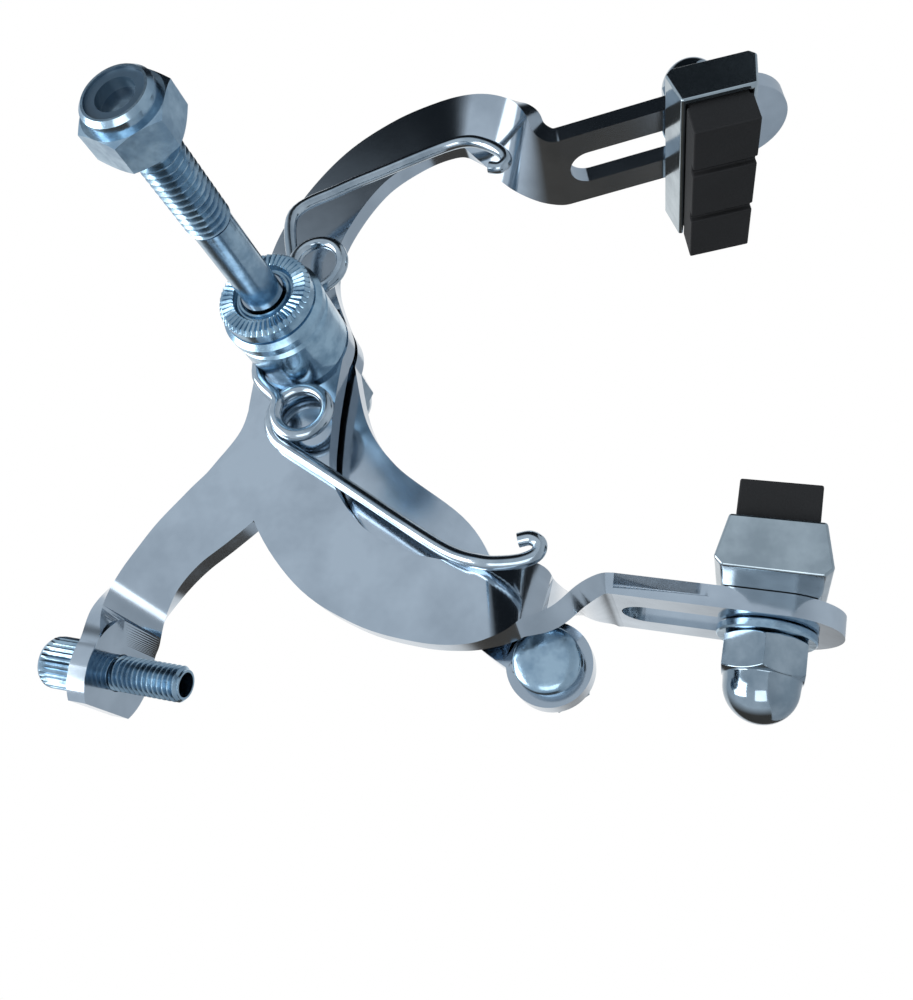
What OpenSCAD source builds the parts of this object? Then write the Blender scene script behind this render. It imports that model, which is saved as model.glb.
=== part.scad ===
// Side-pull caliper brake, as it hangs on the fork crown.
// +Y points back to the fork, +X to the cable side, +Z up. The origin is on the
// bolt's axis, at the toothed face that seats on the crown.
// Each arm is drawn with its slot plate upright, then swung open about the bolt.

/* [Centre bolt] */
// Diameter of the threads and of the pivot journal
bolt_d = 6; // [5:0.5:7]
// Diameter of the plain shank behind the seat
shank_d = 5.5; // [4:0.1:5.9]
// How far the bolt reaches behind the seat face
bolt_rear = 34.6; // [30:0.2:60]
// Where the rear thread starts, behind the seat face
rear_thread_start = 15; // [8:0.5:22]
// Chamfer at both ends of the bolt
bolt_chamfer = 0.7; // [0.2:0.1:1]

/* [Nuts] */
// Hexagon size across the flats of the nuts on the centre bolt and the studs
nut_af = 10; // [9.5:0.5:13]
// Height of the hexagon of the frame nut
frame_nut_h = 4.5; // [3:0.1:7]
// Height of the round collar behind that hexagon
collar_h = 1.7; // [1:0.1:3]
// Diameter of the collar
collar_d = 8.8; // [8.4:0.1:9.4]
// Thickness of the locking ring in the collar
insert_h = 1.4; // [0.6:0.1:2]
// Height of the thin nut that sets the pivot play
adjusting_nut_h = 3.2; // [2:0.1:5]
// Height of the hexagon of each domed nut
cap_hex_h = 5; // [3:0.1:7]
// Height of the dome above that hexagon
cap_dome_h = 5.6; // [4:0.1:7]
// Thickness of the metal left round a blind thread
cap_wall = 1.2; // [0.8:0.1:2]

/* [Seat and block] */
// Outer diameter of the toothed washer
seat_d = 13.4; // [12:0.1:16]
// Thickness of the toothed washer
seat_t = 2.8; // [2:0.1:4]
// Diameter of the hole in the toothed washer
seat_bore = 6.8; // [6.4:0.1:8]
// Number of radial teeth on the washer
tooth_count = 36; // [20:1:44]
// Depth of the teeth
tooth_depth = 0.45; // [0.2:0.05:0.6]
// Radial width of the toothed band
tooth_band = 1.7; // [1:0.1:2]
// Depth of the recess inside the teeth
seat_recess = 0.9; // [0.3:0.1:1.5]
// Width of the lip round the washer's hole
seat_lip = 0.6; // [0.4:0.1:0.8]
// Diameter of the plain spacer washer
spacer_d = 14.8; // [13:0.1:18]
// Thickness of the spacer washer
spacer_t = 2.6; // [1:0.1:4]
// Diameter of the block that holds the spring
block_d = 14.4; // [13.4:0.1:18]
// Length of that block along the bolt
block_len = 8.7; // [7:0.1:12]
// Chamfer on the block's edges
block_chamfer = 0.6; // [0.2:0.1:1]

/* [Spring] */
// Wire diameter
wire_d = 1.9; // [1.4:0.1:2.2]
// Mean radius of each coil
coil_r = 3.7; // [3.2:0.1:4]
// Distance of each coil's centre from the bolt's axis
coil_x = 12.6; // [12.2:0.1:14]
// Height of the coils' centres below the bolt's axis
coil_drop = 2.3; // [1:0.1:3]
// Gap between the turns and between the spring and an arm
wire_gap = 0.3; // [0.1:0.05:0.4]
// Height of the wire's crossing above the bolt's axis
wire_cross_z = 4.8; // [4.4:0.1:5.2]

/* [Arms] */
// Thickness of the pressed arms
arm_t = 2.8; // [2:0.1:4]
// Width of the arms at the pivot
arm_w = 14.4; // [13:0.2:16]
// Width of the curved limbs that carry the shoes
limb_w = 11.4; // [10:0.2:12.4]
// How far each arm is swung open from upright
arm_open = 10; // [6:0.5:12]
// Distance between the inner faces of the upright slot plates
plate_gap = 56; // [54:0.2:60]
// How far the near limb's centre line bulges out past its slot plate
near_bulge = 6.4; // [5:0.2:8]
// How far the far limb's centre line bulges out past its slot plate
far_bulge = 9.2; // [7:0.2:10.4]
// Width of the slot plates
plate_w = 15; // [13.4:0.2:16]
// Height of the slot plates' centre line in front of the seat face
plate_front = 25.5; // [24:0.1:27]
// Depth below the bolt at which the near limb's twist is complete
near_twist_end = 50.5; // [50:0.1:50.8]
// Depth below the bolt at which the far limb's twist is complete
far_twist_end = 43.6; // [43:0.1:43.8]
// Depth of the near slot's upper end below the bolt
near_slot_top = 51; // [51:0.5:54]
// Depth of the far slot's upper end below the bolt
far_slot_top = 44; // [44:0.5:52]
// Depth of the slots' lower ends below the bolt
slot_end = 74.4; // [74:0.2:84]
// Clearance between a slot and its stud, across
slot_clear = 0.4; // [0.2:0.1:1]

/* [Cable side of the arms] */
// Distance of the adjuster's axis from the bolt's axis, arm upright
adjuster_x = 51.2; // [50:0.2:53]
// Height of the middle of the adjuster's tab
tab_z = 16.3; // [15.6:0.1:17]
// Width of the tab
tab_w = 15; // [14:0.2:16]
// How far the tab reaches past the adjuster's axis
tab_reach = 5.4; // [5:0.1:6]
// How far the tab sits in front of the limb's middle plane
tab_forward = 2; // [1:0.1:2.6]
// Narrowest width of the cable limb
neck_w = 8.6; // [7:0.2:9.4]
// Distance of the cable anchor from the bolt's axis, arm upright
anchor_x = 53.4; // [52.4:0.1:54]
// Depth of the cable anchor below the bolt's axis
anchor_drop = 27.6; // [26.5:0.1:28]
// Width of the far arm's end round the anchor
anchor_pad_w = 11; // [10.8:0.1:11.4]

/* [Barrel adjuster] */
// Diameter of the adjuster's threaded stem
stem_d = 5; // [4.4:0.1:5.4]
// Length of the stem below its tab
stem_below = 10.6; // [7:0.2:14]
// Diameter of the knurled head
head_d = 7.4; // [7:0.1:8]
// Length of the knurled head
head_len = 6.6; // [6:0.2:10]
// Diameter of the socket for the cable housing
socket_d = 5.2; // [4.4:0.1:5.4]
// Depth of that socket
socket_depth = 4; // [3:0.2:5]
// Diameter of the hole for the inner cable
cable_hole_d = 2.4; // [1.6:0.1:3]
// Thickness of the ring between the head and the tab
ring_t = 1.8; // [1:0.1:3]
// Diameter of that ring
ring_d = 7.4; // [6.6:0.1:8]
// Gap between the ring and the head
ring_gap = 0.2; // [0.1:0.05:0.4]

/* [Cable anchor] */
// Diameter of the anchor bolt's head
anchor_head_d = 8.6; // [8.2:0.1:8.8]
// Height of that head
anchor_head_h = 2.6; // [2.4:0.1:2.8]
// Height of the bevel round the head
anchor_bevel = 0.8; // [0.3:0.1:0.9]
// Diameter of the anchor bolt's shank
anchor_d = 5; // [4:0.1:6]
// Diameter of the hole across the head for the cable
anchor_hole_d = 1.7; // [1.6:0.1:1.8]
// Diameter of the anchor's washer
anchor_washer_d = 10.2; // [9.6:0.1:11]
// Thickness of the anchor's washer
anchor_washer_t = 1; // [0.6:0.1:1.6]
// Height of the anchor's nut
anchor_nut_h = 4; // [3:0.1:6]
// Hexagon size across the flats of the anchor's nut
anchor_nut_af = 8; // [7.6:0.1:9]

/* [Shoes] */
// Depth of the near shoe's centre below the bolt, arm upright
near_shoe_drop = 69.4; // [66:0.2:71]
// Depth of the far shoe's centre below the bolt, arm upright
far_shoe_drop = 65.8; // [65.6:0.2:71]
// How far the far shoe is turned on its stud
far_shoe_turn = 4; // [0:0.5:10]
// Length of each holder
holder_len = 30; // [26:0.5:50]
// Width of a holder at its base
holder_w = 13.4; // [12:0.2:16]
// Width of a holder at its rim
rim_w = 11; // [10:0.2:12]
// Height of a holder's side walls
holder_h = 6.6; // [5:0.1:8]
// Sheet thickness of a holder
holder_t = 1.1; // [0.8:0.1:1.5]
// Width of the holder's folded end along its upper edge
end_w = 7.8; // [6:0.2:9]
// Height of the holder's folded end
end_h = 6.2; // [4:0.1:6.4]
// Width of the rubber outside the holder
rubber_w = 9.6; // [9:0.2:10]
// Height of the rubber's braking face over the slot plate
rubber_h = 11.8; // [10:0.2:15]
// Width of the grooves across the rubber
groove_w = 1.4; // [1:0.1:2]
// Depth of those grooves
groove_depth = 1; // [0.6:0.1:2]
// Distance of the grooves from the middle of the shoe
groove_pitch = 5.2; // [4:0.2:7]
// Diameter of the shoes' studs
stud_d = 6; // [5:0.1:6]
// Diameter of a stud's flat head inside the holder
stud_head_d = 8; // [7:0.1:8.4]
// Thickness of that head
stud_head_t = 1; // [0.6:0.1:1.4]
// Diameter of the washers under the shoe nuts
shoe_washer_d = 12.4; // [12:0.1:16]
// Thickness of the washers under the shoe nuts
shoe_washer_t = 1.2; // [0.8:0.1:2]

/* [Fits] */
// Radial clearance of a running fit
run_clear = 0.05; // [0.03:0.01:0.08]
// Gap between flat faces that slide or turn on each other
face_gap = 0.1; // [0.05:0.05:0.2]
// Radial clearance of the plain washers on their bolts
washer_clear = 0.15; // [0.1:0.05:0.3]
// Thickness of the washers between and in front of the arms
pivot_washer_t = 1; // [0.6:0.1:2]
// Diameter of those washers
pivot_washer_d = 12; // [11:0.1:14]

/* [Hidden] */
$fn = 64;
eps = 0.01;
// Step from the flats of a nut in to its dome
dome_step = 0.3;
// Room that the rubber leaves inside its holder
rubber_room = 0.3;
wire_sides = 10;
bolt_r = bolt_d / 2;

// Stack along the bolt, from the seat face forwards
spacer_y = -seat_t;
block_y = spacer_y - spacer_t;
near_arm_y = block_y - block_len - face_gap;
pivot_washer_y = near_arm_y - arm_t - face_gap;
far_arm_y = pivot_washer_y - pivot_washer_t - face_gap;
front_washer_y = far_arm_y - arm_t - face_gap;
adjusting_nut_y = front_washer_y - pivot_washer_t;
cap_nut_y = adjusting_nut_y - adjusting_nut_h;
cap_h = cap_hex_h + cap_dome_h;
bolt_front = cap_nut_y - cap_h + cap_wall + bolt_chamfer;
frame_nut_y = bolt_rear - frame_nut_h;

// Slot plates and what they carry, arm upright
plate_in = plate_gap / 2;
plate_mid = plate_in + arm_t / 2;
plate_y = -plate_front;
slot_w = stud_d + slot_clear;
plate_end = slot_end - slot_w / 2;
near_mid_y = near_arm_y - arm_t / 2;
far_mid_y = far_arm_y - arm_t / 2;
tab_y = near_mid_y - tab_forward;
near_forward = plate_y - near_mid_y;
far_forward = plate_y - far_mid_y;
near_out = plate_mid + near_bulge;
far_out = plate_mid + far_bulge;
far_w = limb_w - 1.2;
limb_parts = 6;
tab_top = tab_z + arm_t / 2;
head_z = tab_top + ring_t + ring_gap;
stem_z = tab_z - arm_t / 2 - stem_below;

// Spring
wire_r = wire_d / 2;
turn_pitch = wire_d + wire_gap / 3;
leg_y = near_arm_y + wire_r + wire_gap;
cross_y = leg_y + turn_pitch;
wrap_out = wire_d * 0.8;

function unit(v) = v / norm(v);
function smooth(t) = t <= 0 ? 0 : t >= 1 ? 1 : t * t * (3 - 2 * t);
function wrap(i, n) = min(max(i, 0), n - 1);

// A curve through the points p, as n points for each stretch between two of them
function curve(p, n) = [
    for (i = [0 : len(p) - 2], k = [0 : n - (i == len(p) - 2 ? 0 : 1)])
        let (t = k / n, a = p[wrap(i - 1, len(p))], b = p[i], c = p[i + 1],
            d = p[wrap(i + 2, len(p))])
        0.5 * (2 * b + (c - a) * t + (2 * a - 5 * b + 4 * c - d) * t * t
            + (3 * b - 3 * c + d - a) * t * t * t)
];

// Direction of a list of points at its point i
function heading(p, i) = unit(p[wrap(i + 1, len(p))] - p[wrap(i - 1, len(p))]);

// Corners of a strip's section: outer and rear, inner and rear, inner and front, outer and front
function strip_ring(c, across, through, w, t) = [
    c + across * w / 2 + through * t / 2,
    c - across * w / 2 + through * t / 2,
    c - across * w / 2 - through * t / 2,
    c + across * w / 2 - through * t / 2
];

// One section of a limb. The outer edge turns back towards the fork by the angle twist.
function limb_ring(x, y, z, along, w, twist) =
    let (out = [-along[1], 0, along[0]],
        across = out * cos(twist) + [0, sin(twist), 0],
        through = [0, cos(twist), 0] - out * sin(twist))
    strip_ring([x, y, z], across, through, w, arm_t);

// Solid through a list of rings that hold the same number of points
module through_rings(rings) {
    m = len(rings[0]);
    n = len(rings);
    polyhedron(
        points = [for (r = rings) for (q = r) q],
        faces = concat(
            [[for (j = [m - 1 : -1 : 0]) j]],
            [for (i = [0 : n - 2], j = [0 : m - 1])
                [i * m + j, i * m + (j + 1) % m, (i + 1) * m + (j + 1) % m]],
            [for (i = [0 : n - 2], j = [0 : m - 1])
                [i * m + j, (i + 1) * m + (j + 1) % m, (i + 1) * m + j]],
            [[for (j = [0 : m - 1]) (n - 1) * m + j]]),
        convexity = 6);
}

// Stands a solid that is drawn along +Z on the plane y, along +Y
module along_y(y) {
    translate([0, y, 0]) rotate([-90, 0, 0]) children();
}

module hexagon(h, af = nut_af) {
    corner = af / sqrt(3);
    bevel = corner - af / 2;
    intersection() {
        cylinder(h = h, r = corner, $fn = 6);
        rotate_extrude() polygon([
            [0, 0], [af / 2, 0], [corner, bevel / 2],
            [corner, h - bevel / 2], [af / 2, h], [0, h]
        ]);
    }
}

module washer(d, bore, t, edge = 0.2) {
    rotate_extrude() polygon([
        [bore / 2, 0], [d / 2 - edge, 0], [d / 2, edge],
        [d / 2, t - edge], [d / 2 - edge, t], [bore / 2, t]
    ]);
}

// Domed nut with its flat face at 0 and a blind thread
module cap_nut(thread_d) {
    dome_r = nut_af / 2 - dome_step;
    point_h = cap_dome_h - dome_r;
    difference() {
        union() {
            hexagon(cap_hex_h);
            translate([0, 0, cap_hex_h - eps]) cylinder(h = point_h + 2 * eps, r = dome_r);
            translate([0, 0, cap_hex_h + point_h]) intersection() {
                sphere(r = dome_r);
                cylinder(h = dome_r, r = dome_r);
            }
        }
        translate([0, 0, -1]) cylinder(h = cap_h - cap_wall + 1, d = thread_d);
    }
}

module centre_bolt() {
    color("#9fb0bd") along_y(bolt_front) rotate_extrude() polygon([
        [0, 0],
        [bolt_r - bolt_chamfer, 0],
        [bolt_r, bolt_chamfer],
        [bolt_r, spacer_y - bolt_front],
        [shank_d / 2, spacer_y - bolt_front],
        [shank_d / 2, rear_thread_start - bolt_front],
        [bolt_r, rear_thread_start - bolt_front + bolt_r - shank_d / 2],
        [bolt_r, bolt_rear - bolt_chamfer - bolt_front],
        [bolt_r - bolt_chamfer, bolt_rear - bolt_front],
        [0, bolt_rear - bolt_front]
    ]);
}

module frame_nut() {
    lip = 0.5;
    wall = lip + 0.3;
    color("#a9b7c4") along_y(frame_nut_y) difference() {
        union() {
            hexagon(frame_nut_h);
            translate([0, 0, frame_nut_h - eps]) rotate_extrude() polygon([
                [0, 0], [collar_d / 2, 0], [collar_d / 2, collar_h - lip],
                [collar_d / 2 - lip, collar_h + eps], [0, collar_h + eps]
            ]);
        }
        translate([0, 0, -1]) cylinder(h = frame_nut_h + 1, r = bolt_r);
        translate([0, 0, frame_nut_h - eps]) cylinder(h = collar_h + 1, d = collar_d - 2 * wall);
    }
}

module frame_nut_insert() {
    ring_out = collar_d - 1.6;
    ring_in = bolt_d - 1.2;
    color("#8fa5b5") along_y(bolt_rear) difference() {
        cylinder(h = insert_h, d = ring_out);
        translate([0, 0, -1]) cylinder(h = insert_h + 2, d = ring_in);
    }
}

module toothed_washer() {
    r = seat_d / 2;
    hole = seat_bore / 2;
    edge = 0.5;
    band_in = r - edge - tooth_band;
    color("#a8bac8") difference() {
        along_y(-seat_t) rotate_extrude() polygon([
            [hole, 0], [r - edge, 0], [r, edge], [r, seat_t - edge], [r - edge, seat_t],
            [band_in, seat_t], [band_in, seat_t - seat_recess],
            [hole + seat_lip, seat_t - seat_recess], [hole + seat_lip, seat_t - seat_recess / 2],
            [hole, seat_t - seat_recess / 2]
        ]);
        for (k = [0 : tooth_count - 1]) rotate([0, k * 360 / tooth_count, 0])
            translate([band_in - eps, 0, 0]) rotate([45, 0, 0])
                translate([0, -tooth_depth / sqrt(2), -tooth_depth / sqrt(2)])
                    cube([tooth_band + edge + 1, tooth_depth * sqrt(2), tooth_depth * sqrt(2)]);
    }
}

module spacer_washer() {
    color("#b9bcb4") along_y(block_y)
        washer(spacer_d, bolt_d + 2 * washer_clear, spacer_t, edge = 0.7);
}

// The wire lies in a slot across the top of the block
module spring_block() {
    r = block_d / 2;
    len_in = block_len - block_chamfer;
    slot = wire_d + wire_gap;
    color("#8fa3b3") difference() {
        along_y(block_y - block_len) rotate_extrude() polygon([
            [bolt_r + washer_clear, 0], [r - block_chamfer, 0], [r, block_chamfer],
            [r, len_in], [r - block_chamfer, block_len], [bolt_r + washer_clear, block_len]
        ]);
        translate([-r - 1, cross_y - slot / 2, wire_cross_z - slot / 2])
            cube([block_d + 2, slot, r]);
    }
}

// One side of the spring, from the slot out to the hook: a crossing, one turn, a leg.
// side is 1 towards the cable. turn is the angle that the coil runs on past one full turn.
function spring_half(side, turn, leg) = concat(
    curve([[0, cross_y, wire_cross_z],
        [side * block_d * 0.45, cross_y, wire_cross_z],
        [side * (coil_x - coil_r * 0.6), cross_y, coil_r * 1.05 - coil_drop],
        [side * coil_x, cross_y, coil_r - coil_drop]], 4),
    [for (a = [15 : 15 : 360 + turn - 15])
        let (r = coil_r + wrap_out * smooth((a - 225) / 150))
        [side * (coil_x + r * sin(a)), cross_y - turn_pitch * a / (360 + turn),
            r * cos(a) - coil_drop]],
    curve(concat([[side * (coil_x + (coil_r + wrap_out) * sin(turn)), leg_y,
        (coil_r + wrap_out) * cos(turn) - coil_drop]], leg), 5)
);

far_leg_y = far_arm_y + wire_r + wire_gap;
near_hook_y = leg_y + 1.1;
near_leg = [
    [23.8, leg_y, -9.3], [29.7, leg_y, -17.5], [34.4, leg_y + 0.4, -24.4],
    [36.2, near_hook_y, -28.8], [36.5, near_hook_y, -31.6], [36.3, near_hook_y, -34.2],
    [35.5, near_hook_y, -36], [34.2, near_hook_y, -36.3], [33.4, near_hook_y, -35.2],
    [33.6, near_hook_y, -33.6]
];
far_leg = [
    [-23.7, leg_y, 3.5], [-28.6, leg_y - 1.4, -3.2], [-32.4, leg_y - 2.8, -10.2],
    [-36.4, far_leg_y, -18.9], [-36.9, far_leg_y, -23.2], [-35.6, far_leg_y, -26.4],
    [-33.6, far_leg_y, -28.8], [-31.8, far_leg_y, -29.6], [-30.6, far_leg_y, -28.6],
    [-31, far_leg_y, -27]
];

module return_spring() {
    right = spring_half(1, 50, near_leg);
    left = spring_half(-1, 20, far_leg);
    path = concat([for (i = [len(left) - 1 : -1 : 1]) left[i]], right);
    color("#b4c2cc") through_rings([
        for (i = [0 : len(path) - 1])
            let (along = heading(path, i), a = unit(cross([0, 1, 0], along)), b = cross(a, along))
            [for (k = [0 : wire_sides - 1])
                path[i] + wire_r * (a * cos(k * 360 / wire_sides) + b * sin(k * 360 / wire_sides))]
    ]);
}

function flat_path(p) = [for (q = p) [q[0], q[1]]];

// Edge of a limb's flat strip at station i, on the outer side for 1 and on the inner for -1
function limb_edge(p, i, side) =
    let (along = i == 0 ? [1, 0] : heading(flat_path(p), i))
    [p[i][0], p[i][1]] + side * [-along[1], along[0]] * p[i][2] / 2;

// Outline of a limb's flat strip up to station last
module limb_outline(p, last) {
    polygon(concat([for (i = [0 : last]) limb_edge(p, i, 1)],
        [for (i = [last : -1 : 0]) limb_edge(p, i, -1)]));
}

// Presses a flat arm of the sheet's thickness out of outlines drawn in X and Z
module flat_arm(rear_y) {
    translate([0, rear_y, 0]) rotate([90, 0, 0]) linear_extrude(arm_t) children();
}

// Rest of a limb, where the strip twists and bends out of the arm's plane
module twisted_limb(p, mid_y, from, final) {
    last = len(p) - 1;
    through_rings([for (i = [from : last])
        let (along = i == last ? final : heading(flat_path(p), i))
        limb_ring(p[i][0], mid_y + p[i][3], p[i][1], along, p[i][2], p[i][4])]);
}

// Stations of a limb hold x, z, width, offset along Y and twist.
// The near limb's outer edge rises over the anchor as the strip twists.
near_path = curve([
    [0, 0, arm_w - 0.8, 0, 0], [near_out * 0.36, -1.5, arm_w - 1, 0, 0],
    [near_out * 0.65, -4.8, limb_w + 1, 0, 0], [near_out * 0.87, -12.4, limb_w + 0.4, 0, 0],
    [near_out - 1, -20.6, limb_w, 0, 0], [near_out, -28, limb_w - 0.2, 0, 0],
    [near_out - 0.2, -33, limb_w - 0.4, 0.3, 2], [near_out - 1, -36.5, limb_w, 1.4, 11],
    [plate_mid + 4.2, -40, limb_w + 0.4, 0.6, 31],
    [plate_mid + 3.6, 7.2 - near_twist_end, limb_w + 1.8, -2.4, 55],
    [plate_mid + 2, 4 - near_twist_end, plate_w - 0.6, near_forward * 0.64, 79],
    [plate_mid + 0.3, 1.6 - near_twist_end, plate_w, near_forward * 0.97, 89],
    [plate_mid, -near_twist_end, plate_w, near_forward, 90]
], limb_parts);
near_flat = 5 * limb_parts;

// The far limb is drawn towards +X
far_path = curve([
    [0, 0, arm_w - 0.8, 0, 0], [far_out * 0.31, 1.6, limb_w + 1, 0, 0],
    [far_out * 0.54, -0.2, limb_w + 0.2, 0, 0], [far_out * 0.73, -4.9, far_w + 0.8, 0, 0],
    [far_out * 0.89, -11.6, far_w + 0.2, 0, 0], [far_out - 1, -19, far_w, 0, 0],
    [far_out, -25.5, far_w, 0, 0], [far_out - 0.4, -30, far_w, -0.4, 8],
    [far_out - 2.4, 9.6 - far_twist_end, far_w + 1, -1.8, 30],
    [plate_mid + 4.3, 6.4 - far_twist_end, far_w + 3, -3.8, 58],
    [plate_mid + 1.6, 3.8 - far_twist_end, plate_w - 0.6, far_forward + 0.6, 80],
    [plate_mid + 0.2, 1.6 - far_twist_end, plate_w, far_forward + 0.05, 89],
    [plate_mid, -far_twist_end, plate_w, far_forward, 90]
], limb_parts);
far_flat = 6 * limb_parts;

// The cable limb narrows, then turns flat under the tab
cable_path = curve([
    [1, 0, arm_w - 1.6, 0, 0], [adjuster_x * 0.28, -1, arm_w - 1, 0, 0],
    [adjuster_x * 0.45, tab_z * 0.2, limb_w + 0.4, 0, 0],
    [adjuster_x * 0.54, tab_z * 0.4, limb_w - 0.2, 0, 0],
    [adjuster_x * 0.63, tab_z * 0.61, neck_w + 1.6, 0, 0],
    [adjuster_x * 0.72, tab_z * 0.76, neck_w + 0.2, 0, 2],
    [adjuster_x * 0.79, tab_z * 0.86, neck_w - 0.2, 0, 14],
    [adjuster_x * 0.85, tab_z * 0.94, neck_w + 0.6, -tab_forward * 0.3, 42],
    [adjuster_x * 0.9, tab_z * 0.99, neck_w + 3, -tab_forward * 0.8, 76],
    [adjuster_x * 0.94, tab_z, tab_w - 1, -tab_forward, 90],
    [adjuster_x, tab_z, tab_w, -tab_forward, 90]
], limb_parts);
cable_flat = 4 * limb_parts;

// The anchor limb stays flat, and narrows where the near limb crosses it
anchor_path = curve([
    [1, 0, arm_w - 1.6, 0, 0], [anchor_x * 0.27, -1.4, limb_w + 1, 0, 0],
    [anchor_x * 0.46, -6, limb_w + 0.8, 0, 0], [anchor_x * 0.65, -15, limb_w, 0, 0],
    [anchor_x - 12.6, 8.8 - anchor_drop, limb_w - 2.6, 0, 0],
    [anchor_x - 6.6, 5.7 - anchor_drop, limb_w - 3.6, 0, 0],
    [anchor_x, -anchor_drop, anchor_pad_w - 2, 0, 0]
], limb_parts);

// Slot plate below the twist, with a round end
module slot_plate(twist_end) {
    translate([plate_in, plate_y - plate_w / 2, -plate_end])
        cube([arm_t, plate_w, plate_end - twist_end]);
    translate([plate_in, plate_y, -plate_end]) rotate([0, 90, 0]) cylinder(h = arm_t, d = plate_w);
}

module shoe_slot(slot_top) {
    low = slot_end - slot_w / 2;
    high = slot_top + slot_w / 2;
    deep = 6 * arm_t;
    start = plate_mid - deep / 2;
    translate([start, plate_y - slot_w / 2, -low]) cube([deep, slot_w, low - high]);
    for (z = [low, high]) translate([start, plate_y, -z]) rotate([0, 90, 0])
        cylinder(h = deep, d = slot_w);
}

module pivot_hole(rear_y) {
    along_y(rear_y - arm_t - 1) cylinder(h = arm_t + 2, r = bolt_r + run_clear);
}

// Tab that the adjuster screws through, cut straight across beyond it
module adjuster_tab() {
    intersection() {
        translate([adjuster_x, tab_y, tab_z - arm_t / 2]) cylinder(h = arm_t, d = tab_w);
        translate([adjuster_x - tab_w, tab_y - tab_w, tab_z - arm_t])
            cube([tab_w + tab_reach, 2 * tab_w, 2 * arm_t]);
    }
}

module cable_arm() {
    color("#8d9aa6") rotate([0, -arm_open, 0]) difference() {
        union() {
            flat_arm(near_arm_y) {
                circle(d = arm_w);
                limb_outline(near_path, near_flat);
                limb_outline(cable_path, cable_flat);
            }
            twisted_limb(near_path, near_mid_y, near_flat, [0, -1]);
            twisted_limb(cable_path, near_mid_y, cable_flat, [1, 0]);
            slot_plate(near_twist_end);
            adjuster_tab();
        }
        pivot_hole(near_arm_y);
        shoe_slot(near_slot_top);
        translate([adjuster_x, tab_y, tab_z - arm_t])
            cylinder(h = 2 * arm_t, d = stem_d + 2 * run_clear);
        translate([adjuster_x, tab_y, tab_top]) cylinder(h = ring_t, d = ring_d + 0.6);
    }
}

module curved_arm() {
    color("#56606a") rotate([0, arm_open, 0]) difference() {
        union() {
            flat_arm(far_arm_y) {
                circle(d = arm_w);
                mirror([1, 0]) limb_outline(far_path, far_flat);
                limb_outline(anchor_path, len(anchor_path) - 1);
                translate([anchor_x, -anchor_drop]) circle(d = anchor_pad_w);
            }
            mirror([1, 0, 0]) {
                twisted_limb(far_path, far_mid_y, far_flat, [0, -1]);
                slot_plate(far_twist_end);
            }
        }
        pivot_hole(far_arm_y);
        mirror([1, 0, 0]) shoe_slot(far_slot_top);
        translate([anchor_x, 0, -anchor_drop]) along_y(far_arm_y - arm_t - 1)
            cylinder(h = arm_t + 2, d = anchor_d + 2 * washer_clear);
    }
}

module pivot_washer() {
    color("#a9b7c4") along_y(pivot_washer_y - pivot_washer_t)
        washer(pivot_washer_d, bolt_d + 2 * washer_clear, pivot_washer_t);
}

module front_washer() {
    color("#a9b7c4") along_y(front_washer_y - pivot_washer_t)
        washer(pivot_washer_d, bolt_d + 2 * washer_clear, pivot_washer_t);
}

module adjusting_nut() {
    color("#a9b7c4") along_y(adjusting_nut_y - adjusting_nut_h) difference() {
        hexagon(adjusting_nut_h);
        translate([0, 0, -1]) cylinder(h = adjusting_nut_h + 2, r = bolt_r);
    }
}

module pivot_cap_nut() {
    color("#a9b7c4") translate([0, cap_nut_y, 0]) rotate([90, 0, 0]) cap_nut(bolt_d);
}

// Places what the cable arm carries at the adjuster's axis
module at_adjuster() {
    rotate([0, -arm_open, 0]) translate([adjuster_x, tab_y, 0]) children();
}

module barrel_adjuster() {
    edge = 0.5;
    top = head_z + head_len;
    color("#9fb0bd") at_adjuster() rotate_extrude() polygon([
        [cable_hole_d / 2, stem_z], [stem_d / 2 - edge, stem_z], [stem_d / 2, stem_z + edge],
        [stem_d / 2, head_z], [head_d / 2 - edge, head_z], [head_d / 2, head_z + edge],
        [head_d / 2, top - edge], [head_d / 2 - edge, top], [socket_d / 2, top],
        [socket_d / 2, top - socket_depth], [cable_hole_d / 2, top - socket_depth]
    ]);
}

module adjuster_ring() {
    color("#b4c2cc") at_adjuster() translate([0, 0, tab_top])
        washer(ring_d, stem_d + 2 * run_clear, ring_t, edge = 0.3);
}

// Places what the curved arm carries at the anchor's axis, standing on the plane y
module at_anchor(y) {
    rotate([0, arm_open, 0]) translate([anchor_x, 0, -anchor_drop]) rotate([0, -arm_open, 0])
        along_y(y) children();
}

module anchor_bolt() {
    head_y = anchor_nut_h + anchor_washer_t + arm_t + 1;
    color("#aab9c5") at_anchor(far_arm_y - head_y) difference() {
        rotate_extrude() polygon([
            [0, 0], [anchor_d / 2 - 0.4, 0], [anchor_d / 2, 0.4], [anchor_d / 2, head_y],
            [anchor_head_d / 2, head_y], [anchor_head_d / 2, head_y + anchor_head_h - anchor_bevel],
            [anchor_head_d / 2 - anchor_bevel, head_y + anchor_head_h], [0, head_y + anchor_head_h]
        ]);
        translate([0, anchor_head_d, head_y + anchor_head_h / 2]) rotate([90, 0, 0])
            cylinder(h = 2 * anchor_head_d, d = anchor_hole_d);
    }
}

module anchor_washer() {
    color("#a9b7c4") at_anchor(far_arm_y - arm_t - anchor_washer_t)
        washer(anchor_washer_d, anchor_d + 2 * washer_clear, anchor_washer_t);
}

module anchor_nut() {
    color("#a9b7c4") at_anchor(far_arm_y - arm_t - anchor_washer_t - anchor_nut_h) difference() {
        hexagon(anchor_nut_h, anchor_nut_af);
        translate([0, 0, -1]) cylinder(h = anchor_nut_h + 2, d = anchor_d);
    }
}

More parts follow.
